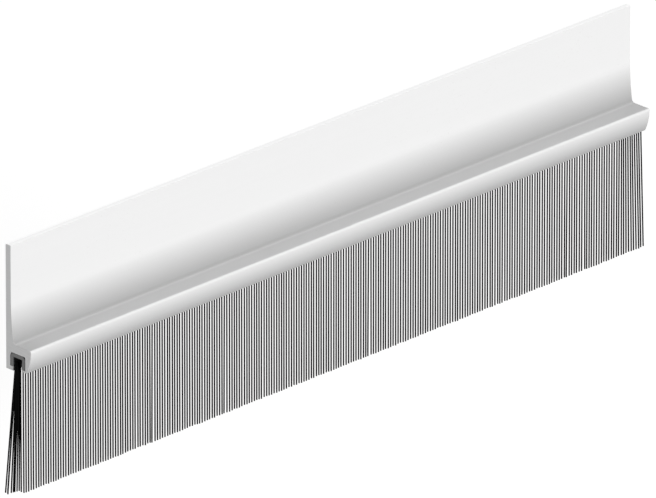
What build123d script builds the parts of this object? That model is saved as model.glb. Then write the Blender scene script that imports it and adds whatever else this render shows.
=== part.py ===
"""Door bottom brush seal: an extruded holder with a strip brush held in its channel.

All sizes are in millimetres. X runs along the door's lower edge, -Y points out of the door
and +Z points up. The origin is the centre of the holder's flat back face, which lies on the door.
"""

from build123d import *

import math
import os

# Sizes of the whole seal
seal_length = 200.0
holder_height = 30.5
bristle_reach = 29.5  # from the holder's lower edge down to the tips

# The holder's flange
flange_thickness = 1.6
flange_swell = 0.8  # how much thicker the flange is at its root
swell_height = 11.0  # height above the channel at which the flange starts to thicken
flange_edge_radius = 0.25
root_radius = 1.0  # between the flange and the channel's top

# The holder's channel
back_wall = 1.2
front_wall = 1.9
top_wall = 2.0
front_foot_wall = 0.45  # the front wall tucks in towards its foot and gets this thin there
lip_thickness = 1.0
front_lip_thickness = 0.45
nose_radius = 0.5  # along the front upper edge
foot_radius = 0.15
cavity_corner_radius = 0.3

# The filaments, folded over a core wire
wire_diameter = 1.0
filament_diameter = 0.24
filament_layers = 3  # layers in the fold, from the wire outwards
filament_pitch = 0.8
tip_spacing = 0.58  # from one row of tips to the next, across the brush
wire_setback = 2.0  # from the strip's end to the end of the core wire

# The backing that is folded and crimped over them
sheet_thickness = 0.9
sheet_bend_radius = 0.25
crimp_room = 0.25  # each leg leans in by this much, from the web to its foot
leg_below_wire = 1.2  # from the wire's centre down to the feet

# Clearances
fold_clearance = 0.02
slide_clearance = 0.05  # between the backing and the holder's channel
back_lip_gap = 0.1  # between the filaments and the holder's back lip
front_lip_gap = 0.45

# Half thickness of the packed filaments at the fold and at the tips
bundle_half = wire_diameter / 2 + fold_clearance + filament_layers * filament_diameter
tip_half = (filament_layers - 0.5) * tip_spacing + filament_diameter / 2

# Heights, from the holder's lower edge upwards
top_z = holder_height / 2
bottom_z = -holder_height / 2
lip_top_z = bottom_z + lip_thickness
front_foot_z = lip_top_z - front_lip_thickness
wire_z = lip_top_z + leg_below_wire
shoulder_z = wire_z + bundle_half * math.tan(math.radians(22.5))
web_z = wire_z + bundle_half + fold_clearance
backing_top_z = web_z + sheet_thickness
cavity_top_z = backing_top_z + slide_clearance
shelf_z = cavity_top_z + top_wall
swell_top_z = shelf_z + swell_height
tip_z = bottom_z - bristle_reach

# Half widths of the backing, whose mouth is set by the outermost filaments as they lean out
lean_at_feet = (tip_half - bundle_half) * (shoulder_z - lip_top_z) / (shoulder_z - tip_z)
mouth_half = bundle_half + lean_at_feet + fold_clearance
web_half = mouth_half + crimp_room
backing_half = web_half + sheet_thickness
cavity_half = backing_half + slide_clearance

# Places from the door outwards
strip_y = -(back_wall + cavity_half)
cavity_back_y = -back_wall
cavity_front_y = strip_y - cavity_half
front_y = cavity_front_y - front_wall
foot_y = cavity_front_y - front_foot_wall
root_y = -(flange_thickness + flange_swell)
back_lip_y = strip_y + mouth_half + back_lip_gap
front_lip_y = strip_y - mouth_half - front_lip_gap


def round_corners(outline, radius, *corners):
    """Round the corners of a flat outline that lie at the given points."""
    for corner in corners:
        vertex = outline.vertices().sort_by_distance(corner)[0]
        outline = fillet(vertex, radius)
    return outline


def along_door(outline, length):
    """Extrude an outline drawn in Y and Z evenly to both sides of the middle."""
    return extrude(Plane.YZ * outline, length / 2, both=True)


def make_holder():
    """Flange and channel in one extrusion, with a lip under each side of the channel."""
    straight_sides = Polyline(
        (-flange_thickness, swell_top_z),
        (-flange_thickness, top_z),
        (0, top_z),
        (0, bottom_z),
        (back_lip_y, bottom_z),
        (back_lip_y, lip_top_z),
        (cavity_back_y, lip_top_z),
        (cavity_back_y, cavity_top_z),
        (cavity_front_y, cavity_top_z),
        (cavity_front_y, lip_top_z),
        (front_lip_y, lip_top_z),
        (front_lip_y, front_foot_z),
        (foot_y, front_foot_z),
    )
    tucked_front = TangentArc((front_y, shelf_z), (foot_y, front_foot_z), tangent=(0, -1))
    shelf = Line((front_y, shelf_z), (root_y, shelf_z))
    swell = TangentArc((-flange_thickness, swell_top_z), (root_y, shelf_z), tangent=(0, -1))
    outline = make_face(Curve() + [straight_sides, tucked_front, shelf, swell])
    outline = round_corners(outline, root_radius, (root_y, shelf_z))
    outline = round_corners(outline, nose_radius, (front_y, shelf_z))
    outline = round_corners(outline, foot_radius, (foot_y, front_foot_z), (0, bottom_z))
    outline = round_corners(outline, flange_edge_radius, (0, top_z), (-flange_thickness, top_z))
    outline = round_corners(
        outline,
        cavity_corner_radius,
        (cavity_back_y, cavity_top_z),
        (cavity_front_y, cavity_top_z),
    )
    return along_door(outline, seal_length)


def make_backing():
    """Steel strip folded into a channel, with its legs crimped in and its feet on the lips."""
    foot_half = mouth_half + sheet_thickness
    outline = make_face(
        Polyline(
            (strip_y - foot_half, lip_top_z),
            (strip_y - backing_half, backing_top_z),
            (strip_y + backing_half, backing_top_z),
            (strip_y + foot_half, lip_top_z),
            (strip_y + mouth_half, lip_top_z),
            (strip_y + web_half, web_z),
            (strip_y - web_half, web_z),
            (strip_y - mouth_half, lip_top_z),
            (strip_y - foot_half, lip_top_z),
        )
    )
    outline = round_corners(
        outline,
        sheet_bend_radius + sheet_thickness,
        (strip_y - backing_half, backing_top_z),
        (strip_y + backing_half, backing_top_z),
    )
    outline = round_corners(
        outline,
        sheet_bend_radius,
        (strip_y - web_half, web_z),
        (strip_y + web_half, web_z),
    )
    return along_door(outline, seal_length)


def make_core_wire():
    """Round wire that the filaments are folded over, a little shorter than the strip."""
    section = Pos(strip_y, wire_z) * Circle(wire_diameter / 2)
    return along_door(section, seal_length - 2 * wire_setback)


def fold_side(radius, tip_offset, side):
    """Points of one side of a fold, from its tip up to its crown, on the -Y or +Y side."""
    facet_half = radius * math.tan(math.radians(22.5))
    return [
        (strip_y + side * tip_offset, tip_z),
        (strip_y + side * radius, wire_z + facet_half),
        (strip_y + side * facet_half, wire_z + radius),
    ]


def make_filament(layer):
    """One filament of a layer: two legs and a fold that passes over the core wire."""
    inner = wire_diameter / 2 + fold_clearance + layer * filament_diameter
    outer = inner + filament_diameter
    tip_outer = (layer + 0.5) * tip_spacing + filament_diameter / 2
    tip_inner = tip_outer - filament_diameter
    outside = fold_side(outer, tip_outer, -1) + fold_side(outer, tip_outer, 1)[::-1]
    inside = fold_side(inner, tip_inner, 1) + fold_side(inner, tip_inner, -1)[::-1]
    outline = make_face(Polyline(*outside, *inside, close=True))
    return along_door(outline, filament_diameter).solid()


def make_bristles():
    """A row of folded filaments, one at each pitch, that takes the layers in turn."""
    kinds = [make_filament(layer) for layer in range(filament_layers)]
    count = int(seal_length / filament_pitch + 1e-6)
    first_x = -filament_pitch * (count - 1) / 2
    row = [Pos(first_x + filament_pitch * i, 0, 0) * kinds[i % filament_layers] for i in range(count)]
    return Compound(children=row)


parts = {
    "holder": make_holder(),
    "brush_backing": make_backing(),
    "core_wire": make_core_wire(),
    "bristles": make_bristles(),
}

os.makedirs("parts", exist_ok=True)
for node, shape in parts.items():
    export_step(shape, f"parts/{node}.step")
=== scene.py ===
# %% [markdown]
# # A door bottom brush seal
#
# This lesson dresses a short sample of a brush seal, the strip that is fixed along the lower edge
# of a door to keep draughts out. It is made of four things: an extruded aluminium holder, a folded
# steel backing inside the holder's channel, a core wire inside the backing, and black filaments
# that are folded over the wire and hang down.
#
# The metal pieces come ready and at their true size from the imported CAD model, which is loaded
# first and never moved. What is left for Blender is their finish, and the brush itself: the CAD
# model holds a thin comb of filaments, and a real brush is many rows deep.

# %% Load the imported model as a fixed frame
import math

import bpy
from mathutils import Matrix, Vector


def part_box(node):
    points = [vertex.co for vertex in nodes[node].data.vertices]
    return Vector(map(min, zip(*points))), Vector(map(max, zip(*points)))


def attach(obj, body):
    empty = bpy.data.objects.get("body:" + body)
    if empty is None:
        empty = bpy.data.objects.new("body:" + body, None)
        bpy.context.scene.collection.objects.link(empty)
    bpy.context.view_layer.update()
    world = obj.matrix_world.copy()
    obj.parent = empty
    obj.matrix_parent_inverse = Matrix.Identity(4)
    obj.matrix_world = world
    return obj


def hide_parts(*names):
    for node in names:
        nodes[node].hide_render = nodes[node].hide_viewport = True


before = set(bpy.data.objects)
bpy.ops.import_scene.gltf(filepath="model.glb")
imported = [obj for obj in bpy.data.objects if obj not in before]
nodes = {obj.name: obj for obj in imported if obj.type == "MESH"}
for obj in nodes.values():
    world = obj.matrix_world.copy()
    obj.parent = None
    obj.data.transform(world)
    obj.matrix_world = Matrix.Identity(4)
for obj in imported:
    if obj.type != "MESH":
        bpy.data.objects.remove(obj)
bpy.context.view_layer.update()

MM = 0.001
scene = bpy.context.scene
for name in sorted(nodes):
    low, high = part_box(name)
    print("node", name, "measures", [round(side / MM, 2) for side in high - low], "mm")

# %% [markdown]
# ## Where everything is
#
# Places could be typed in as numbers, but then they would be wrong as soon as the model is made
# again with other sizes. So they are read from the CAD pieces. The middle plane of the brush is the
# middle of the core wire, and the tips are the lowest points of the comb. The channel's top can't
# be read from a box, so it is worked out from the backing, which fills the channel, the play that
# the backing slides in with, and the thickness of the channel's top.

# %% Read the seats from the frame
CHANNEL_TOP_WALL = 2.0 * MM
SLIDE_CLEARANCE = 0.05 * MM

holder_low, holder_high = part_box("holder")
wire_low, wire_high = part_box("core_wire")
backing_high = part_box("brush_backing")[1]

wire_radius = (wire_high.z - wire_low.z) / 2
wire_z = (wire_high.z + wire_low.z) / 2
brush_y = (wire_high.y + wire_low.y) / 2
tip_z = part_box("bristles")[0].z
shelf_z = backing_high.z + SLIDE_CLEARANCE + CHANNEL_TOP_WALL
print("brush plane at y", round(brush_y / MM, 3), "mm")
print("tips at z", round(tip_z / MM, 2), "mm, channel's top at z", round(shelf_z / MM, 2), "mm")

# %% [markdown]
# ## Helpers for node trees
#
# Materials and Geometry Nodes are both built from nodes and links. A few small helpers keep the
# cells below short. One fills an input with a plain value or with the output of another node. One
# adds a node and fills in its inputs. The third adds a math node and returns its result, so that a
# formula can be written almost as on paper. The last one says how large a tree has become.

# %% Small helpers for node trees
def fill(tree, socket, value):
    """Give an input socket a value, or link it to an output socket."""
    if isinstance(value, bpy.types.NodeSocket):
        tree.links.new(value, socket)
    else:
        socket.default_value = value


def add_node(tree, kind, inputs=None, **settings):
    """Add a node, set its properties, then fill in its inputs by name or number."""
    node = tree.nodes.new(kind)
    for key, value in settings.items():
        setattr(node, key, value)
    for key, value in (inputs or {}).items():
        fill(tree, node.inputs[key], value)
    return node


def calc(tree, operation, *values, clamp=False):
    """Add a math node on numbers or sockets and return its result."""
    node = add_node(tree, "ShaderNodeMath", operation=operation, use_clamp=clamp)
    for socket, value in zip(node.inputs, values):
        fill(tree, socket, value)
    return node.outputs[0]


def tell(label, tree):
    """Print how many nodes a tree has."""
    print(label, "has", len(tree.nodes), "nodes")


# %% [markdown]
# ## The camera
#
# The photograph is nearly a parallel view: long edges that are parallel on the object are parallel
# in the picture. An orthographic camera would do, but it can't back away for other views, so this
# is a very long lens from five metres away, which flattens the view in the same way.

# %% Camera at the photograph's angle
CAMERA_AZIMUTH = math.radians(-44.98)
CAMERA_ELEVATION = math.radians(23.19)
CAMERA_DISTANCE = 4.999
CAMERA_LENS = 1200.0
SENSOR_WIDTH = 36.0
NEAREST_SEEN, FARTHEST_SEEN = 0.1, 60.0
AIM_RIGHT = 1.94 * MM
AIM_UP = -15.015 * MM

away = Vector((
    math.sin(CAMERA_AZIMUTH) * math.cos(CAMERA_ELEVATION),
    -math.cos(CAMERA_AZIMUTH) * math.cos(CAMERA_ELEVATION),
    math.sin(CAMERA_ELEVATION),
))
view_right = Vector((math.cos(CAMERA_AZIMUTH), math.sin(CAMERA_AZIMUTH), 0.0))
view_up = away.cross(view_right)
aim = view_right * AIM_RIGHT + view_up * AIM_UP

camera = bpy.data.objects.new("camera", bpy.data.cameras.new("camera"))
camera.data.lens = CAMERA_LENS
camera.data.sensor_width = SENSOR_WIDTH
camera.data.clip_start = NEAREST_SEEN
camera.data.clip_end = FARTHEST_SEEN
camera.location = aim + away * CAMERA_DISTANCE
camera.rotation_mode = "QUATERNION"
camera.rotation_quaternion = (-away).to_track_quat("-Z", "Y")
scene.collection.objects.link(camera)
scene.camera = camera
scene.view_settings.view_transform = "Standard"
print("camera stands", round(CAMERA_DISTANCE, 2), "m away")

# %% [markdown]
# ## White surroundings
#
# A product picture has a plain white ground. If the world lit the object as brightly as it looks,
# the pale metal would wash out, so the world is plain white only to the camera, to reflections and
# through glass. Light Path tells these rays apart from the ones that light a surface. The floor
# needs the same answer, so it comes from a small function.

# %% Rays that see the surroundings
def seen_by_eye(tree):
    """1 for camera, glossy and transmission rays, 0 for the rays that carry light."""
    path = add_node(tree, "ShaderNodeLightPath").outputs
    direct = calc(tree, "MAXIMUM", path["Is Camera Ray"], path["Is Glossy Ray"])
    return calc(tree, "MAXIMUM", direct, path["Is Transmission Ray"])


# %% [markdown]
# ### The world
#
# The world's strength runs from a weak glow, for the rays that carry light, to 1, which is white.
# The weak glow fills the shadows evenly from all sides, as the walls of a pale room do.

# %% World
AMBIENT = 0.14

world = bpy.data.worlds.new("white_surroundings")
world.use_nodes = True
scene.world = world
tree = world.node_tree
tree.nodes.clear()
strength = add_node(
    tree, "ShaderNodeMapRange",
    {"Value": seen_by_eye(tree), "To Min": AMBIENT, "To Max": 1.0},
)
background = add_node(tree, "ShaderNodeBackground", {"Strength": strength.outputs["Result"]})
background.inputs["Color"].default_value = (1, 1, 1, 1)
add_node(tree, "ShaderNodeOutputWorld", {"Surface": background.outputs[0]})
print("world lights with", AMBIENT, "and looks white")

# %% [markdown]
# ## The light
#
# One wide soft light from the front, a little to the left and a little above, does nearly all the
# work. The flat front is brightest, and the channel's top and the near cut end get about a third
# as much, so the faces of the section stand apart as shades of grey. An area lamp close by would
# fade along a long thin object. A sun lamp is equally strong along the whole seal, and its wide
# angle makes it as soft as a big softbox.

# %% Lamp
KEY_DIRECTION = Vector((-0.30, -0.90, 0.31))
KEY_DISTANCE = 2.0
KEY_STRENGTH = 2.66
KEY_ANGLE = math.radians(28)

key = bpy.data.lights.new("soft_key", "SUN")
key.energy = KEY_STRENGTH
key.angle = KEY_ANGLE
key_lamp = bpy.data.objects.new("soft_key", key)
key_lamp.location = KEY_DIRECTION.normalized() * KEY_DISTANCE
key_lamp.rotation_mode = "QUATERNION"
key_lamp.rotation_quaternion = (-KEY_DIRECTION).to_track_quat("-Z", "Y")
scene.collection.objects.link(key_lamp)
print("lamp has strength", key.energy, "and is", round(math.degrees(key.angle)), "degrees wide")

# %% [markdown]
# ## The floor
#
# The seal is fixed to a door, so nothing stands under it: the floor lies well below the tips. It is
# a pale matt floor that takes the object's shadow. To the camera and to reflections it adds enough
# white of its own to meet the white of the world without an edge. One large square is enough.

# %% Floor
FLOOR_DROP = 120 * MM
FLOOR_HALF = 30.0
FLOOR_COLOR = 0.8
FLOOR_GLOW = 0.72

floor_z = tip_z - FLOOR_DROP
corners = [(-1, -1), (1, -1), (1, 1), (-1, 1)]
floor_points = [(x * FLOOR_HALF, y * FLOOR_HALF, floor_z) for x, y in corners]
floor_mesh = bpy.data.meshes.new("floor")
floor_mesh.from_pydata(floor_points, [], [(0, 1, 2, 3)])
floor = bpy.data.objects.new("floor", floor_mesh)
scene.collection.objects.link(floor)

floor_finish = bpy.data.materials.new("pale_matt_floor")
floor_finish.use_nodes = True
tree = floor_finish.node_tree
shader = tree.nodes["Principled BSDF"]
shader.inputs["Base Color"].default_value = (FLOOR_COLOR, FLOOR_COLOR, FLOOR_COLOR, 1)
shader.inputs["Roughness"].default_value = 1.0
shader.inputs["Specular IOR Level"].default_value = 0.0
shader.inputs["Emission Color"].default_value = (1, 1, 1, 1)
floor_glow = calc(tree, "MULTIPLY", seen_by_eye(tree), FLOOR_GLOW)
fill(tree, shader.inputs["Emission Strength"], floor_glow)
floor_mesh.materials.append(floor_finish)
print("floor lies", round(FLOOR_DROP / MM), "mm below the tips")

# %% [markdown]
# ## Effects that several finishes share
#
# Extruded, rolled and drawn metal all carry fine lines along the direction in which they were
# pulled. Dust settles on metal and on filaments alike. Each effect could be built again in every
# material, but a node group with named inputs is made once and placed in each finish with its own
# values. A group only puts out masks: the shader stays in the material.

# %% Make an empty shader node group
def shader_group(name, inputs, outputs):
    """A node group whose inputs are numbers or vectors with a default value."""
    group = bpy.data.node_groups.new(name, "ShaderNodeTree")
    for label, value in inputs.items():
        kind = "NodeSocketVector" if isinstance(value, tuple) else "NodeSocketFloat"
        socket = group.interface.new_socket(name=label, in_out="INPUT", socket_type=kind)
        socket.default_value = value
    for label in outputs:
        group.interface.new_socket(name=label, in_out="OUTPUT", socket_type="NodeSocketFloat")
    return group, group.nodes.new("NodeGroupInput"), group.nodes.new("NodeGroupOutput")


# %% [markdown]
# ### Lines along the length
#
# Extruding and drawing leave scratches that run on and on. A wave texture would look ruled, so
# this is noise that is stretched some hundreds of times along X, until it turns into streaks. Two
# layers of it, a fine one and a coarse one, are averaged.

# %% Node group for the pulled lines
STREAK_SCALES = (1.0, 0.27)

lines_group, source, result = shader_group(
    "lines_along_length",
    {"Position": (0.0, 0.0, 0.0), "Lines per mm": 6.0, "Streak length mm": 60.0},
    ["Streaks"],
)
across = calc(lines_group, "MULTIPLY", source.outputs["Lines per mm"], 1 / MM)
along = calc(lines_group, "DIVIDE", 1 / MM, source.outputs["Streak length mm"])
stretch = add_node(lines_group, "ShaderNodeCombineXYZ", {"X": along, "Y": across, "Z": across})
streaks = []
for scale in STREAK_SCALES:
    place = add_node(
        lines_group, "ShaderNodeVectorMath",
        {0: source.outputs["Position"], 1: stretch.outputs[0]}, operation="MULTIPLY",
    )
    scaled = add_node(
        lines_group, "ShaderNodeVectorMath",
        {"Vector": place.outputs[0], "Scale": scale}, operation="SCALE",
    )
    noise = add_node(
        lines_group, "ShaderNodeTexNoise",
        {"Vector": scaled.outputs[0], "Scale": 1.0, "Detail": 2.0},
    )
    streaks.append(noise.outputs["Fac"])
average = calc(lines_group, "DIVIDE", calc(lines_group, "ADD", *streaks), len(STREAK_SCALES))
fill(lines_group, result.inputs["Streaks"], average)
tell("group lines_along_length", lines_group)

# %% [markdown]
# ### Dust and handling
#
# Anything that is handled and stored gets dull in some places and not in others. Even noise looks
# like sand, so large soft patches decide where a surface is a little duller, and small specks sit
# only inside them.

# %% Node group for dust
DUST_LIMITS = {"Patch size mm": (0.42, 0.68), "Speck size mm": (0.66, 0.74)}

dust_group, source, result = shader_group(
    "dust_and_handling",
    {"Position": (0.0, 0.0, 0.0), "Patch size mm": 18.0, "Speck size mm": 0.5, "Amount": 0.3},
    ["Patches", "Specks"],
)
masks = []
for label, (low, high) in DUST_LIMITS.items():
    scale = calc(dust_group, "DIVIDE", 1 / MM, source.outputs[label])
    noise = add_node(
        dust_group, "ShaderNodeTexNoise",
        {"Vector": source.outputs["Position"], "Scale": scale, "Detail": 3.0},
    )
    mask = add_node(
        dust_group, "ShaderNodeMapRange",
        {"Value": noise.outputs["Fac"], "From Min": low, "From Max": high},
        interpolation_type="SMOOTHSTEP",
    )
    masks.append(mask.outputs["Result"])
patches, specks = masks
specks = calc(dust_group, "MULTIPLY", specks, patches)
for label, mask in (("Patches", patches), ("Specks", specks)):
    amount = calc(dust_group, "MULTIPLY", mask, source.outputs["Amount"])
    fill(dust_group, result.inputs[label], amount)
tell("group dust_and_handling", dust_group)

# %% [markdown]
# ### Saw-cut ends
#
# The seal is sold in lengths that are cut with a fine-toothed saw, so the end faces carry short
# arcs from the blade and look duller than the skin. The end faces could get a material of their
# own, but the CAD mesh stays as it is, so the group finds them by their distance along X. It puts
# out where they are, and the saw's marks, which are lines of noise bent into shallow bows.

# %% Node group for the cut ends
END_DEPTH = 0.03 * MM
BOW_PER_METRE = 14.0

cut_group, source, result = shader_group(
    "saw_cut_ends",
    {"Position": (0.0, 0.0, 0.0), "End at": 0.1, "Marks per mm": 5.0},
    ["Cut face", "Saw marks"],
)
axes = add_node(cut_group, "ShaderNodeSeparateXYZ", {"Vector": source.outputs["Position"]}).outputs
past_end = calc(
    cut_group, "SUBTRACT", calc(cut_group, "ABSOLUTE", axes["X"]), source.outputs["End at"],
)
cut_face = calc(cut_group, "GREATER_THAN", past_end, -END_DEPTH)
width_squared = calc(cut_group, "MULTIPLY", axes["Y"], axes["Y"])
bowed_height = calc(
    cut_group, "ADD", axes["Z"], calc(cut_group, "MULTIPLY", width_squared, BOW_PER_METRE),
)
mark_count = calc(cut_group, "MULTIPLY", bowed_height, source.outputs["Marks per mm"])
marks_place = add_node(
    cut_group, "ShaderNodeCombineXYZ", {"Z": calc(cut_group, "DIVIDE", mark_count, MM)},
)
marks = add_node(
    cut_group, "ShaderNodeTexNoise",
    {"Vector": marks_place.outputs[0], "Scale": 1.0, "Detail": 3.0},
)
fill(cut_group, result.inputs["Cut face"], cut_face)
fill(cut_group, result.inputs["Saw marks"], marks.outputs["Fac"])
tell("group saw_cut_ends", cut_group)

# %% [markdown]
# ### Painted highlights on two edges
#
# Along two edges a painted highlight is laid on, and there the skin turns into pale, bright bare
# metal. A mask along an edge is often made from the mesh's curvature, which needs a dense mesh.
# Here the edge is a straight line along X, so the group measures how far a point is from it, and
# its mask fades out over a short reach.

# %% Node group for painted edge highlights
edge_highlight_group, source, result = shader_group(
    "painted_edge_highlight",
    {"Position": (0.0, 0.0, 0.0), "Edge Y": 0.0, "Edge Z": 0.0, "Reach mm": 0.5},
    ["Burnished"],
)
axes = add_node(edge_highlight_group, "ShaderNodeSeparateXYZ", {"Vector": source.outputs["Position"]}).outputs
squares = []
for axis in "YZ":
    off_edge = calc(edge_highlight_group, "SUBTRACT", axes[axis], source.outputs["Edge " + axis])
    squares.append(calc(edge_highlight_group, "MULTIPLY", off_edge, off_edge))
distance = calc(edge_highlight_group, "SQRT", calc(edge_highlight_group, "ADD", *squares))
reach = calc(edge_highlight_group, "MULTIPLY", source.outputs["Reach mm"], MM)
nearness = calc(
    edge_highlight_group, "SUBTRACT", 1.0, calc(edge_highlight_group, "DIVIDE", distance, reach), clamp=True,
)
fill(edge_highlight_group, result.inputs["Burnished"], nearness)
tell("group painted_edge_highlight", edge_highlight_group)

# %% [markdown]
# ## Starting a finish
#
# Every finish starts in the same way: a new material, its shader, and the position of the point on
# the object, which all patterns here are drawn with. Then come the shared groups, and masks that
# are turned into numbers or into mixed colours. The Mix node has sockets for several kinds of
# value under the same names, so those for colours are picked by their index.

# %% Helpers for finishes
FIRST_COLOR, SECOND_COLOR, MIXED_COLOR = 6, 7, 2


def new_finish(name, **constants):
    """A material, its tree, its shader and the object position; constants go on the shader."""
    finish = bpy.data.materials.new(name)
    finish.use_nodes = True
    tree = finish.node_tree
    shader = tree.nodes["Principled BSDF"]
    for label, value in constants.items():
        shader.inputs[label.replace("_", " ")].default_value = value
    position = add_node(tree, "ShaderNodeTexCoord").outputs["Object"]
    return finish, tree, shader, position


def place_group(tree, group, position, **values):
    """Place a shared group in a material and return its outputs."""
    node = add_node(tree, "ShaderNodeGroup", {"Position": position}, node_tree=group)
    for label, value in values.items():
        node.inputs[label.replace("_", " ")].default_value = value
    return node.outputs


def spread(tree, mask, low, high):
    """Turn a mask of 0 to 1 into a value from low to high."""
    node = add_node(tree, "ShaderNodeMapRange", {"Value": mask, "To Min": low, "To Max": high})
    return node.outputs["Result"]


def blend(tree, mask, first, second, how="MIX"):
    """Mix two colours by a mask."""
    inputs = {"Factor": mask, FIRST_COLOR: first, SECOND_COLOR: second}
    node = add_node(tree, "ShaderNodeMix", inputs, data_type="RGBA", blend_type=how)
    return node.outputs[MIXED_COLOR]


def grey(level, warm=0.0):
    """A grey with a slight warm or cool cast."""
    return (level * (1 + warm), level, level * (1 - warm), 1)


# %% [markdown]
# ## Satin anodised aluminium
#
# The holder is extruded, brushed and anodised, so it is pale, silky and almost matt. One even grey
# would do from far away. From near, such a skin shows faint lines along its length, a little dust
# and sawn ends, and two edges carry a painted highlight of pale bare metal: the flange's top edge
# and the rounded nose of the channel. Each of these is a mask first, and the masks are put together
# two steps further on.

# %% Finish of the holder: where each effect shows
TOP_EDGE = 0.1 * MM
TOP_HIGHLIGHT = 0.9

aluminium, tree, shader, position = new_finish("satin_anodised_aluminium", IOR=1.4)
axes = add_node(tree, "ShaderNodeSeparateXYZ", {"Vector": position}).outputs
lines = place_group(tree, lines_group, position, Lines_per_mm=5.0, Streak_length_mm=80.0)
dust = place_group(tree, dust_group, position, Patch_size_mm=26.0, Speck_size_mm=0.45, Amount=0.35)
cut = place_group(tree, cut_group, position, End_at=holder_high.x, Marks_per_mm=4.0)
nose = place_group(
    tree, edge_highlight_group, position, Edge_Y=holder_low.y, Edge_Z=shelf_z, Reach_mm=0.55,
)
# Painted highlight along the flange's top edge and the channel's nose, as pale bare metal
top_edge = calc(tree, "GREATER_THAN", axes["Z"], holder_high.z - TOP_EDGE)
top_highlight = calc(tree, "MULTIPLY", top_edge, TOP_HIGHLIGHT)
highlit_edges = calc(tree, "MAXIMUM", top_highlight, nose["Burnished"])
not_sawn = calc(tree, "SUBTRACT", 1.0, cut["Cut face"])
painted_highlight = calc(tree, "MULTIPLY", highlit_edges, not_sawn)
tell("holder's finish", tree)

# %% [markdown]
# ### Shade over the height
#
# Towards its foot the flange swells into the channel, and that long soft curve looks darker and
# darker until it meets the channel's top. The front of the channel rolls under and darkens too. The
# section itself curves only a little there, so light alone gives less shade than the picture shows.
# A colour ramp over the height adds the rest. It leaves out the flat back and the cut ends.

# %% Finish of the holder: shade over the height
SHADE_TOP = 1.2 * MM
ROOT_RADIUS = 1.0 * MM
BACK_SKIN = 0.9 * MM

# Height and shade of each stop: the front wall, then the fillet at the root, then the swell
stops = [
    (holder_low.z, 0.5),
    (holder_low.z + 0.6 * MM, 0.55),
    (holder_low.z + 3.2 * MM, 0.74),
    (shelf_z - 0.5 * MM, 0.94),
    (shelf_z - 0.3 * MM, 0.88),
    (shelf_z + 0.02 * ROOT_RADIUS, 0.88),
    (shelf_z + 0.13 * ROOT_RADIUS, 0.63),
    (shelf_z + 0.3 * ROOT_RADIUS, 0.49),
    (shelf_z + 0.5 * ROOT_RADIUS, 0.46),
    (shelf_z + 0.75 * ROOT_RADIUS, 0.465),
    (shelf_z + ROOT_RADIUS, 0.49),
    (SHADE_TOP - 0.9 * MM, 0.98),
    (SHADE_TOP, 1.0),
]
height_share = add_node(
    tree, "ShaderNodeMapRange",
    {"Value": axes["Z"], "From Min": holder_low.z, "From Max": SHADE_TOP},
)
shade = add_node(tree, "ShaderNodeValToRGB", {"Fac": height_share.outputs["Result"]})
ramp = shade.color_ramp
while len(ramp.elements) < len(stops):
    ramp.elements.new(0.5)  # anywhere, as each stop gets its own place next
for element, (height, level) in zip(ramp.elements, stops):
    element.position = (height - holder_low.z) / (SHADE_TOP - holder_low.z)
    element.color = grey(level)
in_front = calc(tree, "LESS_THAN", axes["Y"], -BACK_SKIN)
shaded = calc(tree, "MULTIPLY", in_front, not_sawn)
print("shade ramp has", len(ramp.elements), "stops")

# %% [markdown]
# ### Colour, gloss and relief
#
# Now the masks meet. The skin is streaked, dusted and darkened by the painted shade over the
# height, the cut ends are duller, and the two edges with the painted highlight are pale bare metal.
# The skin is hardly metallic at all: an anodised layer scatters light before the metal can mirror
# it, which keeps the flange as even and pale as in the picture.
# Streaks and saw marks can also be felt, so a Bump node raises them by up to two hundredths of a
# millimetre.

# %% Finish of the holder: colour, gloss and relief
SKIN = 0.87
STREAK_CONTRAST = 0.015
DUST_GREY = 0.62
DUST_WARMTH = 0.03
SAWN_DARKEST = 0.83
HIGHLIGHT_GREY = 0.95
SKIN_METALLIC = 0.08
SMOOTHEST_SKIN, ROUGHEST_SKIN = 0.5, 0.64
DUST_ROUGHNESS = 0.1
HIGHLIGHT_ROUGHNESS = 0.25
STREAK_RELIEF = 0.4
RELIEF_STRENGTH = 0.25
RELIEF_HEIGHT = 0.02 * MM

dark_streak = grey(SKIN * (1 - STREAK_CONTRAST))
pale_streak = grey(SKIN * (1 + STREAK_CONTRAST))
streaked = blend(tree, lines["Streaks"], dark_streak, pale_streak)
dusted = blend(tree, dust["Specks"], streaked, grey(DUST_GREY, DUST_WARMTH))
shaded_skin = blend(tree, shaded, dusted, shade.outputs["Color"], "MULTIPLY")
sawn = blend(tree, cut["Saw marks"], grey(SKIN * SAWN_DARKEST), grey(SKIN))
skin = blend(tree, cut["Cut face"], shaded_skin, sawn)
# The painted highlight makes the two edges a paler grey and fully metallic
fill(tree, shader.inputs["Base Color"], blend(tree, painted_highlight, skin, grey(HIGHLIGHT_GREY)))
fill(tree, shader.inputs["Metallic"], spread(tree, painted_highlight, SKIN_METALLIC, 1.0))

streak_roughness = spread(tree, lines["Streaks"], SMOOTHEST_SKIN, ROUGHEST_SKIN)
dust_roughness = spread(tree, dust["Patches"], 0.0, DUST_ROUGHNESS)
skin_roughness = calc(tree, "ADD", streak_roughness, dust_roughness)
# The painted highlight on the two edges is smoother than the skin
roughness = spread(tree, painted_highlight, skin_roughness, HIGHLIGHT_ROUGHNESS)
fill(tree, shader.inputs["Roughness"], roughness)

saw_relief = calc(tree, "MULTIPLY", cut["Cut face"], cut["Saw marks"])
relief = calc(tree, "ADD", spread(tree, lines["Streaks"], 0.0, STREAK_RELIEF), saw_relief)
bump = add_node(
    tree, "ShaderNodeBump",
    {"Strength": RELIEF_STRENGTH, "Distance": RELIEF_HEIGHT, "Height": relief},
)
fill(tree, shader.inputs["Normal"], bump.outputs["Normal"])
tell("holder's finish", tree)

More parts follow.
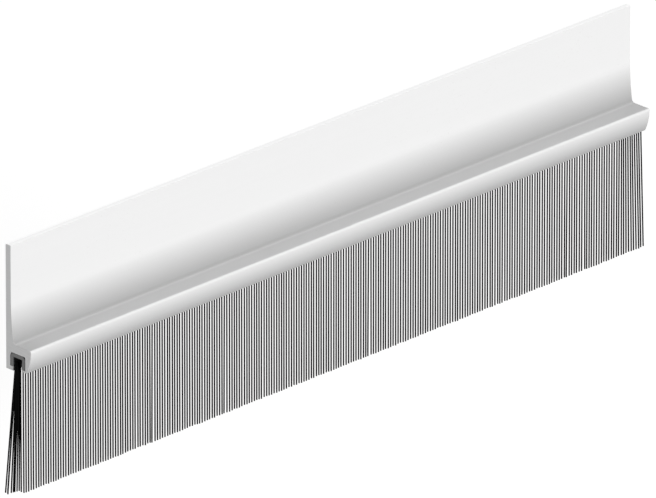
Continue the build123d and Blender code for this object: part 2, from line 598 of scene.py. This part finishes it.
# %% [markdown]
# ## Dull galvanised steel
#
# The backing is rolled from thin galvanised strip. Zinc freezes in flat crystals, which show as
# faint patches of light and dark grey, and rolling leaves lines along the strip. A Voronoi texture
# has just such flat cells with straight borders, so it draws the crystals. Only the strip's cut
# ends are seen from outside, and they get the saw's marks, as the holder's do.

# %% Finish of the backing
CRYSTALS_PER_MM = 0.7
DARK_CRYSTAL, PALE_CRYSTAL = grey(0.13, -0.02), grey(0.2, -0.02)
SAWN_DARK, SAWN_PALE = grey(0.12), grey(0.19)
SMOOTHEST_ZINC, ROUGHEST_ZINC = 0.42, 0.66

galvanised, tree, shader, position = new_finish("dull_galvanised_steel", Metallic=0.6)
lines = place_group(tree, lines_group, position, Lines_per_mm=7.0, Streak_length_mm=40.0)
cut = place_group(tree, cut_group, position, End_at=backing_high.x, Marks_per_mm=6.0)
crystals = add_node(
    tree, "ShaderNodeTexVoronoi", {"Vector": position, "Scale": CRYSTALS_PER_MM / MM},
)
crystal_tone = add_node(tree, "ShaderNodeSeparateColor", {"Color": crystals.outputs["Color"]})
spangled = blend(tree, crystal_tone.outputs["Red"], DARK_CRYSTAL, PALE_CRYSTAL)
sawn = blend(tree, cut["Saw marks"], SAWN_DARK, SAWN_PALE)
fill(tree, shader.inputs["Base Color"], blend(tree, cut["Cut face"], spangled, sawn))
roughness = spread(tree, lines["Streaks"], SMOOTHEST_ZINC, ROUGHEST_ZINC)
fill(tree, shader.inputs["Roughness"], roughness)
tell("backing's finish", tree)

# %% [markdown]
# ## Drawn wire
#
# The core wire is plain drawn steel, a little brighter than the backing, with lines along it from
# the die it was pulled through. The same group of pulled lines drives its colour and its gloss, so
# that a pale line is also a duller one.

# %% Finish of the core wire
DARK_WIRE, PALE_WIRE = grey(0.3, 0.01), grey(0.48, 0.01)
SMOOTHEST_WIRE, ROUGHEST_WIRE = 0.25, 0.42

drawn_steel, tree, shader, position = new_finish("drawn_steel_wire", Metallic=0.9)
lines = place_group(tree, lines_group, position, Lines_per_mm=14.0, Streak_length_mm=30.0)
fill(tree, shader.inputs["Base Color"], blend(tree, lines["Streaks"], DARK_WIRE, PALE_WIRE))
roughness = spread(tree, lines["Streaks"], SMOOTHEST_WIRE, ROUGHEST_WIRE)
fill(tree, shader.inputs["Roughness"], roughness)
tell("wire's finish", tree)

# %% [markdown]
# ## Black filament
#
# The filaments are extruded nylon, black right through. One alone shines a little, but between its
# neighbours hardly any light comes back, so the specular level is close to zero. A noise texture
# can't tell one filament from the next, so each one carries two numbers that the brush's node tree
# stores on it: its tone, because no two catch the light alike, and the share of the way down to
# its tip, because the tips are cut and greyer. An Attribute node reads them by name.

# %% Finish of the filaments
TONE = "filament_tone"
REACH = "filament_reach"
PALE_FILAMENTS = 3.0
CUT_TIP_START = 0.997
BLACKEST, PALEST = 0.0005, 0.007
CUT_TIP_GREY = 0.03
FILAMENT_DUST_GREY = 0.03
SMOOTHEST_FILAMENT, ROUGHEST_FILAMENT = 0.42, 0.58

filament_finish, tree, shader, position = new_finish(
    "black_nylon_filament", Specular_IOR_Level=0.02,
)
tone = add_node(tree, "ShaderNodeAttribute", attribute_name=TONE).outputs["Fac"]
reach = add_node(tree, "ShaderNodeAttribute", attribute_name=REACH).outputs["Fac"]
dust = place_group(tree, dust_group, position, Patch_size_mm=9.0, Speck_size_mm=0.3, Amount=0.5)
few_pale = calc(tree, "POWER", tone, PALE_FILAMENTS)
body = blend(tree, few_pale, grey(BLACKEST), grey(PALEST))
cut_tip = calc(tree, "GREATER_THAN", reach, CUT_TIP_START)
tipped = blend(tree, cut_tip, body, grey(CUT_TIP_GREY))
dusted = blend(tree, dust["Specks"], tipped, grey(FILAMENT_DUST_GREY, DUST_WARMTH))
fill(tree, shader.inputs["Base Color"], dusted)
roughness = spread(tree, tone, SMOOTHEST_FILAMENT, ROUGHEST_FILAMENT)
fill(tree, shader.inputs["Roughness"], roughness)
tell("filaments' finish", tree)

# %% [markdown]
# ## The brush: what the tree does
#
# Each filament is folded over the core wire, so half of every fold hangs as a front leg and half
# as a back leg. An array of one filament would be too even, and hair curves are no mesh that can be
# exported. Geometry Nodes give both a mesh and scatter. One leg is a line of six points: the crown
# above the wire, the turn of the fold, the shoulder beside the wire, the mouth where the crimp
# pinches the brush, the middle of the leg and its tip. The tree copies that line for every row and
# every column, and then moves the six points by a formula.
#
# The rows line up on slanted lines that point to where the photograph was taken from, so that light
# shows between the filaments from that side, as it does there, while from any other side the brush
# is dense. The picture shows the same pitch at both ends although the far end is farther away, so
# the real pitch grows a little along the strip.

# %% Start the brush tree with named inputs
STRIP_END_MARGIN = 0.12 * MM

brush_tree = bpy.data.node_groups.new("folded_brush", "GeometryNodeTree")
brush_values = {
    "Rows": 8,
    "Columns": 252,
    "End columns": 8,
    "Far columns": 10,
    "First line": -100.13 * MM,
    "Last line": 101.57 * MM,
    "Pitch growth": 0.13,
    "Strip half length": backing_high.x - STRIP_END_MARGIN,
    "Filament diameter": 0.342 * MM,
    "Middle Y": brush_y,
    "Wire Z": wire_z,
    "Tip Z": tip_z,
    "Mouth Z": holder_low.z + 0.4 * MM,
    "Inner fold": wire_radius + 0.16 * MM,
    "Outer fold": wire_radius + 0.6 * MM,
    "Fold squareness": 0.35,
    "Mouth spread": 0.85 * MM,
    "Tip spread": 1.45 * MM,
    "Eye X": camera.location.x,
    "Eye Y": camera.location.y,
    "End pitch at fold": 0.238 * MM,
    "End pitch at mouth": 0.25 * MM,
    "End pitch at tips": 0.68 * MM,
    "Far squeeze at fold": 0.178 * MM,
    "Far squeeze at mouth": 0.12 * MM,
    "End lean": 0.75 * MM,
    "End scatter": 0.25 * MM,
    "Depth scatter": 0.15 * MM,
    "Line scatter": 0.05 * MM,
    "Side scatter": 0.01 * MM,
    "Tip scatter": 0.015 * MM,
    "Stray": 0.22 * MM,
    "Stray rarity": 24.0,
    "Length scatter": 0.12 * MM,
    "Seed": 11,
}
for label, value in brush_values.items():
    kind = "NodeSocketInt" if isinstance(value, int) else "NodeSocketFloat"
    brush_tree.interface.new_socket(name=label, in_out="INPUT", socket_type=kind)
brush_tree.interface.new_socket(name="Geometry", in_out="OUTPUT", socket_type="NodeSocketGeometry")
brush_in = brush_tree.nodes.new("NodeGroupInput").outputs
brush_out = brush_tree.nodes.new("NodeGroupOutput").inputs
print("brush tree has", len(brush_values), "named inputs")

# %% [markdown]
# ### One line, copied for every leg
#
# The tree starts with a line of six points, turns it into a curve and duplicates it, once for each
# leg of the brush. All copies lie in the same place for now. Each carries its index, and that one
# number is enough to work out which leg it is.

# %% Copy the line for every leg
POINTS_PER_LEG = 6


def work_out(operation, *values, clamp=False):
    """A math node in the brush tree."""
    return calc(brush_tree, operation, *values, clamp=clamp)


leg_line = add_node(brush_tree, "GeometryNodeMeshLine", {"Count": POINTS_PER_LEG})
leg_curve = add_node(brush_tree, "GeometryNodeMeshToCurve", {0: leg_line.outputs[0]})
all_columns = work_out("ADD", brush_in["Columns"], brush_in["End columns"])
leg_count = work_out("MULTIPLY", all_columns, brush_in["Rows"])
legs = add_node(
    brush_tree, "GeometryNodeDuplicateElements",
    {"Geometry": leg_curve.outputs[0], "Amount": leg_count}, domain="SPLINE",
)
leg_index = legs.outputs["Duplicate Index"]
columns_asked = brush_values["Columns"] + brush_values["End columns"]
print("legs asked for:", brush_values["Rows"] * columns_asked)

# %% [markdown]
# ### Chance with a fixed seed
#
# A real brush is never quite even, so legs stray a little in depth, along the strip, in length and
# in tone. Each draw has a name, and its place in the list is added to the tree's seed. So no two
# draws are alike, and yet the brush is the same each time that the script runs. Random Value and
# Mix have sockets of several kinds under one name, so those for numbers are picked by their index.

# %% Helpers for chance and for values in between
DRAWS = ("depth", "side", "seldom", "direction", "tip", "length", "tone", "line", "tuft")
LOWEST, HIGHEST, DRAWN = 2, 3, 1
SHARE, FIRST_NUMBER, SECOND_NUMBER, MIXED_NUMBER = 0, 2, 3, 0


def chance(low, high, draw, number=leg_index):
    """A random value for each leg, or for each other number, from the seed and the draw."""
    node = add_node(brush_tree, "FunctionNodeRandomValue", data_type="FLOAT")
    fill(brush_tree, node.inputs[LOWEST], low)
    fill(brush_tree, node.inputs[HIGHEST], high)
    fill(brush_tree, node.inputs["ID"], number)
    seed = work_out("ADD", brush_in["Seed"], DRAWS.index(draw) + 1)
    fill(brush_tree, node.inputs["Seed"], seed)
    return node.outputs[DRAWN]


def scatter(amount, draw, number=leg_index):
    """A random shift to either side, up to an amount."""
    return work_out("MULTIPLY", chance(-1.0, 1.0, draw, number), amount)


def between(first, second, share):
    """A value on the way from the first to the second."""
    inputs = {SHARE: share, FIRST_NUMBER: first, SECOND_NUMBER: second}
    return add_node(brush_tree, "ShaderNodeMix", inputs).outputs[MIXED_NUMBER]


# %% [markdown]
# ### Counting rows and columns
#
# The remainder after dividing a leg's index by the number of rows is its row, counted from the
# front, and the whole part is its column. Columns start below zero: the first few make the tuft at
# the near end, where only their back rows start inside the strip. Half a step is added before the
# division, so that a rounding error can't push a leg into the column before.

# %% Row, column and side of every leg
HALF_STEP = 0.5

row = work_out("MODULO", leg_index, brush_in["Rows"])
mid_index = work_out("ADD", leg_index, HALF_STEP)
counted = work_out("FLOOR", work_out("DIVIDE", mid_index, brush_in["Rows"]))
column = work_out("SUBTRACT", counted, brush_in["End columns"])
middle_row = work_out("DIVIDE", work_out("SUBTRACT", brush_in["Rows"], 1), 2)
from_middle = work_out("SUBTRACT", row, middle_row)
side = work_out("SIGN", from_middle)

last_column = work_out("SUBTRACT", brush_in["Columns"], 1)
far_start = work_out("SUBTRACT", last_column, brush_in["Far columns"])
far_count = work_out("MAXIMUM", work_out("SUBTRACT", column, far_start), 0)
end_count = work_out("MAXIMUM", work_out("MULTIPLY", column, -1), 0)
in_tuft = work_out("GREATER_THAN", end_count, 0)
tell("brush tree", brush_tree)

# %% [markdown]
# ### Depth: from the fold to the tips
#
# Beside the wire a leg lies at its layer's distance from the middle. The innermost rows are half a
# step off the middle, and they are layer zero. At the mouth the crimp closes the rows up, and at
# the tips they are spread again. The legs of the tuft at the near end lean back a little as well,
# as they do on every cut brush, where nothing holds them from beyond the cut.

# %% Depth of each leg at the fold, the mouth and the tips
layer = work_out("SUBTRACT", work_out("ABSOLUTE", from_middle), HALF_STEP)
layer_share = work_out("DIVIDE", layer, work_out("SUBTRACT", middle_row, HALF_STEP))
fold_radius = between(brush_in["Inner fold"], brush_in["Outer fold"], layer_share)
depth_at_fold = work_out("MULTIPLY", side, fold_radius)

row_share = work_out("DIVIDE", from_middle, middle_row)
depth_at_mouth = work_out("MULTIPLY", row_share, brush_in["Mouth spread"])

end_share = work_out("DIVIDE", end_count, brush_in["End columns"])
lean = work_out("MULTIPLY", end_share, brush_in["End lean"])
spread_at_tip = work_out("MULTIPLY", row_share, brush_in["Tip spread"])
even_depth = work_out("ADD", spread_at_tip, lean)
depth_at_tip = work_out("ADD", even_depth, scatter(brush_in["Depth scatter"], "depth"))
tell("brush tree", brush_tree)

# %% [markdown]
# ### Place along the strip
#
# Columns stand side by side from the first line to the last. A curve that is zero at both ends
# pushes those in the middle back a little, which makes the pitch grow steadily. At the near end the
# tuft's columns are packed together at the fold and fan out below it. At the far end the last few
# are squeezed in at the fold and the mouth, so that they come out of the strip and not beside it.

# %% Line of each column at the fold and the mouth
column_share = work_out("DIVIDE", work_out("MAXIMUM", column, 0), last_column)
even_place = between(brush_in["First line"], brush_in["Last line"], column_share)
past_first = work_out("SUBTRACT", even_place, brush_in["First line"])
past_last = work_out("SUBTRACT", even_place, brush_in["Last line"])
bow = work_out("MULTIPLY", work_out("MULTIPLY", past_first, past_last), brush_in["Pitch growth"])
main_place = work_out("ADD", even_place, bow)


def line_place(end_pitch, far_squeeze=0.0):
    """Where a column's line is at one height, from how the columns at both ends stand there."""
    near_end = work_out("MULTIPLY", end_count, end_pitch)
    far_end = work_out("MULTIPLY", far_count, far_squeeze)
    return work_out("SUBTRACT", work_out("SUBTRACT", main_place, near_end), far_end)


line_at_fold = line_place(brush_in["End pitch at fold"], brush_in["Far squeeze at fold"])
line_at_mouth = line_place(brush_in["End pitch at mouth"], brush_in["Far squeeze at mouth"])
tell("brush tree", brush_tree)

# %% [markdown]
# ### Strays
#
# In the picture a filament leaves its line here and there. A random number from 0 to 1, raised to a
# high power, is nearly always close to zero and only seldom close to one, so it moves few columns
# and leaves the rest alone. The tuft is rougher: there every column gets its own shift.

# %% Line of each column at the tips
seldom = work_out("POWER", chance(0.0, 1.0, "seldom", column), brush_in["Stray rarity"])
direction = work_out("SIGN", chance(-1.0, 1.0, "direction", column))
stray = work_out("MULTIPLY", work_out("MULTIPLY", seldom, direction), brush_in["Stray"])
tuft_shift = scatter(brush_in["End scatter"], "tuft", column)
out_of_line = between(stray, tuft_shift, in_tuft)
even_tip = line_place(brush_in["End pitch at tips"])
loose_tip = work_out("ADD", even_tip, scatter(brush_in["Tip scatter"], "tip"))
line_at_tip = work_out("ADD", loose_tip, out_of_line)
tell("brush tree", brush_tree)

# %% [markdown]
# ### Moving the points
#
# Every point knows its number in the leg. The first three follow a quarter circle over the wire,
# down to the shoulder. The fourth is at the mouth, and from there the share of the way down to the
# tip mixes the values at the mouth with those at the tip. A line is where the front of the brush
# would be, and a leg further back is shifted along the strip, by the slope of the view from above.

# %% Depth and place of each point
SHOULDER = 2
MOUTH = 3


def place_in_line(line, depth):
    """Where a leg stands along the strip, from its line's front end and its depth in the brush."""
    front_y = work_out("SUBTRACT", brush_in["Middle Y"], brush_in["Outer fold"])
    sideways = work_out("SUBTRACT", line, brush_in["Eye X"])
    slant = work_out("DIVIDE", sideways, work_out("SUBTRACT", front_y, brush_in["Eye Y"]))
    behind_front = work_out("ADD", depth, brush_in["Outer fold"])
    return work_out("ADD", line, work_out("MULTIPLY", behind_front, slant))


point_number = add_node(brush_tree, "GeometryNodeSplineParameter").outputs["Index"]
past_mouth = work_out("SUBTRACT", point_number, MOUTH)
below = work_out("SUBTRACT", point_number, SHOULDER, clamp=True)
down = work_out("DIVIDE", past_mouth, POINTS_PER_LEG - 1 - MOUTH, clamp=True)

depth_here = between(depth_at_fold, between(depth_at_mouth, depth_at_tip, down), below)
line_shift = between(scatter(brush_in["Line scatter"], "line", column), 0.0, in_tuft)
line_below = work_out("ADD", between(line_at_mouth, line_at_tip, down), line_shift)
line_here = between(line_at_fold, line_below, below)
loose_line = work_out("ADD", line_here, scatter(brush_in["Side scatter"], "side"))
leg_x = place_in_line(loose_line, depth_here)
tell("brush tree", brush_tree)

# %% [markdown]
# ### Round the wire
#
# The turn of a point is its angle on the quarter circle. Its sine carries the leg out from the
# crown to its full depth, and its cosine brings it down beside the wire. The filaments are pressed
# into a square channel, so both are raised to a small power, which squares the turn's corner. Below
# the shoulder only the share of the way down counts, and each leg ends at its own height.

# %% Position of each point
turn_step = math.pi / 2 / SHOULDER
turn = work_out("MULTIPLY", work_out("MINIMUM", point_number, SHOULDER), turn_step)
out_share = work_out("POWER", work_out("SINE", turn), brush_in["Fold squareness"])
out_from_middle = work_out("MULTIPLY", depth_here, out_share)
leg_y = work_out("ADD", brush_in["Middle Y"], out_from_middle)

shorter_by = work_out("MULTIPLY", chance(0.0, 1.0, "length"), brush_in["Length scatter"])
tip_height = work_out("ADD", brush_in["Tip Z"], shorter_by)
up_cosine = work_out("MAXIMUM", work_out("COSINE", turn), 0.0)
up_share = work_out("POWER", up_cosine, brush_in["Fold squareness"])
over_wire = work_out("MULTIPLY", fold_radius, up_share)
fold_height = work_out("ADD", brush_in["Wire Z"], over_wire)
leg_z = between(fold_height, between(brush_in["Mouth Z"], tip_height, down), below)
leg_place = add_node(brush_tree, "ShaderNodeCombineXYZ", {"X": leg_x, "Y": leg_y, "Z": leg_z})
tell("brush tree", brush_tree)

# %% [markdown]
# ### From lines to filaments
#
# Legs that would start beyond the strip's ends are deleted. The rest are moved, given their tone
# and reach, and swept with a small hexagon: a few dozen faces each are plenty for something a
# third of a millimetre thick. The tree ends in real geometry with a material.

# %% Sweep the legs and finish the tree
RING_SIDES = 6


def store(geometry, name, value):
    """Store a number on each point of a curve under a name."""
    node = add_node(
        brush_tree, "GeometryNodeStoreNamedAttribute",
        {"Geometry": geometry, "Name": name, "Value": value}, data_type="FLOAT", domain="POINT",
    )
    return node.outputs[0]


toned = store(legs.outputs["Geometry"], TONE, chance(0.0, 1.0, "tone"))
reached = store(toned, REACH, down)
moved = add_node(
    brush_tree, "GeometryNodeSetPosition",
    {"Geometry": reached, "Position": leg_place.outputs[0]},
)
fold_x = work_out("ABSOLUTE", place_in_line(line_at_fold, depth_at_fold))
beyond = work_out("GREATER_THAN", fold_x, brush_in["Strip half length"])
kept = add_node(
    brush_tree, "GeometryNodeDeleteGeometry",
    {"Geometry": moved.outputs[0], "Selection": beyond}, domain="CURVE",
)
filament_radius = work_out("DIVIDE", brush_in["Filament diameter"], 2)
ring = add_node(
    brush_tree, "GeometryNodeCurvePrimitiveCircle",
    {"Resolution": RING_SIDES, "Radius": filament_radius},
)
swept = add_node(
    brush_tree, "GeometryNodeCurveToMesh",
    {"Curve": kept.outputs[0], "Profile Curve": ring.outputs[0], "Fill Caps": True},
)
smooth = add_node(brush_tree, "GeometryNodeSetShadeSmooth", {0: swept.outputs[0]})
real = add_node(brush_tree, "GeometryNodeRealizeInstances", {0: smooth.outputs[0]})
dressed = add_node(
    brush_tree, "GeometryNodeSetMaterial",
    {"Geometry": real.outputs[0], "Material": filament_finish},
)
fill(brush_tree, brush_out["Geometry"], dressed.outputs[0])
tell("finished brush tree", brush_tree)

# %% [markdown]
# ### From tree to plain mesh
#
# The modifier's inputs are set by their identifiers before the object is looked at for the first
# time. Then the evaluated result is copied into a plain mesh and the modifier is removed. The mesh
# stands for the comb of the CAD model, which stays behind it, unseen, for collision.

# %% Run the brush tree
brush = bpy.data.objects.new("brush", bpy.data.meshes.new("brush"))
scene.collection.objects.link(brush)
modifier = brush.modifiers.new("folded_brush", "NODES")
modifier.node_group = brush_tree
for item in brush_tree.interface.items_tree:
    if item.in_out == "INPUT":
        modifier[item.identifier] = brush_values[item.name]

graph = bpy.context.evaluated_depsgraph_get()
brush_mesh = bpy.data.meshes.new_from_object(
    brush.evaluated_get(graph), preserve_all_data_layers=True, depsgraph=graph,
)
brush.modifiers.clear()
brush.data = brush_mesh
triangles = sum(len(face.vertices) - 2 for face in brush_mesh.polygons)
print("brush has", triangles, "triangles and", [slot.name for slot in brush.material_slots])

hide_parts("bristles")
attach(brush, "root")

# %% [markdown]
# ## Dress the metal pieces
#
# The CAD pieces keep their meshes, because their shapes are already right to a hundredth of a
# millimetre. Only the material in their slots is changed.

# %% Give the CAD pieces their finishes
finishes = {
    "holder": aluminium,
    "brush_backing": galvanised,
    "core_wire": drawn_steel,
}
for name, finish in finishes.items():
    for slot in nodes[name].material_slots:
        slot.material = finish
    print(name, "wears", finish.name)
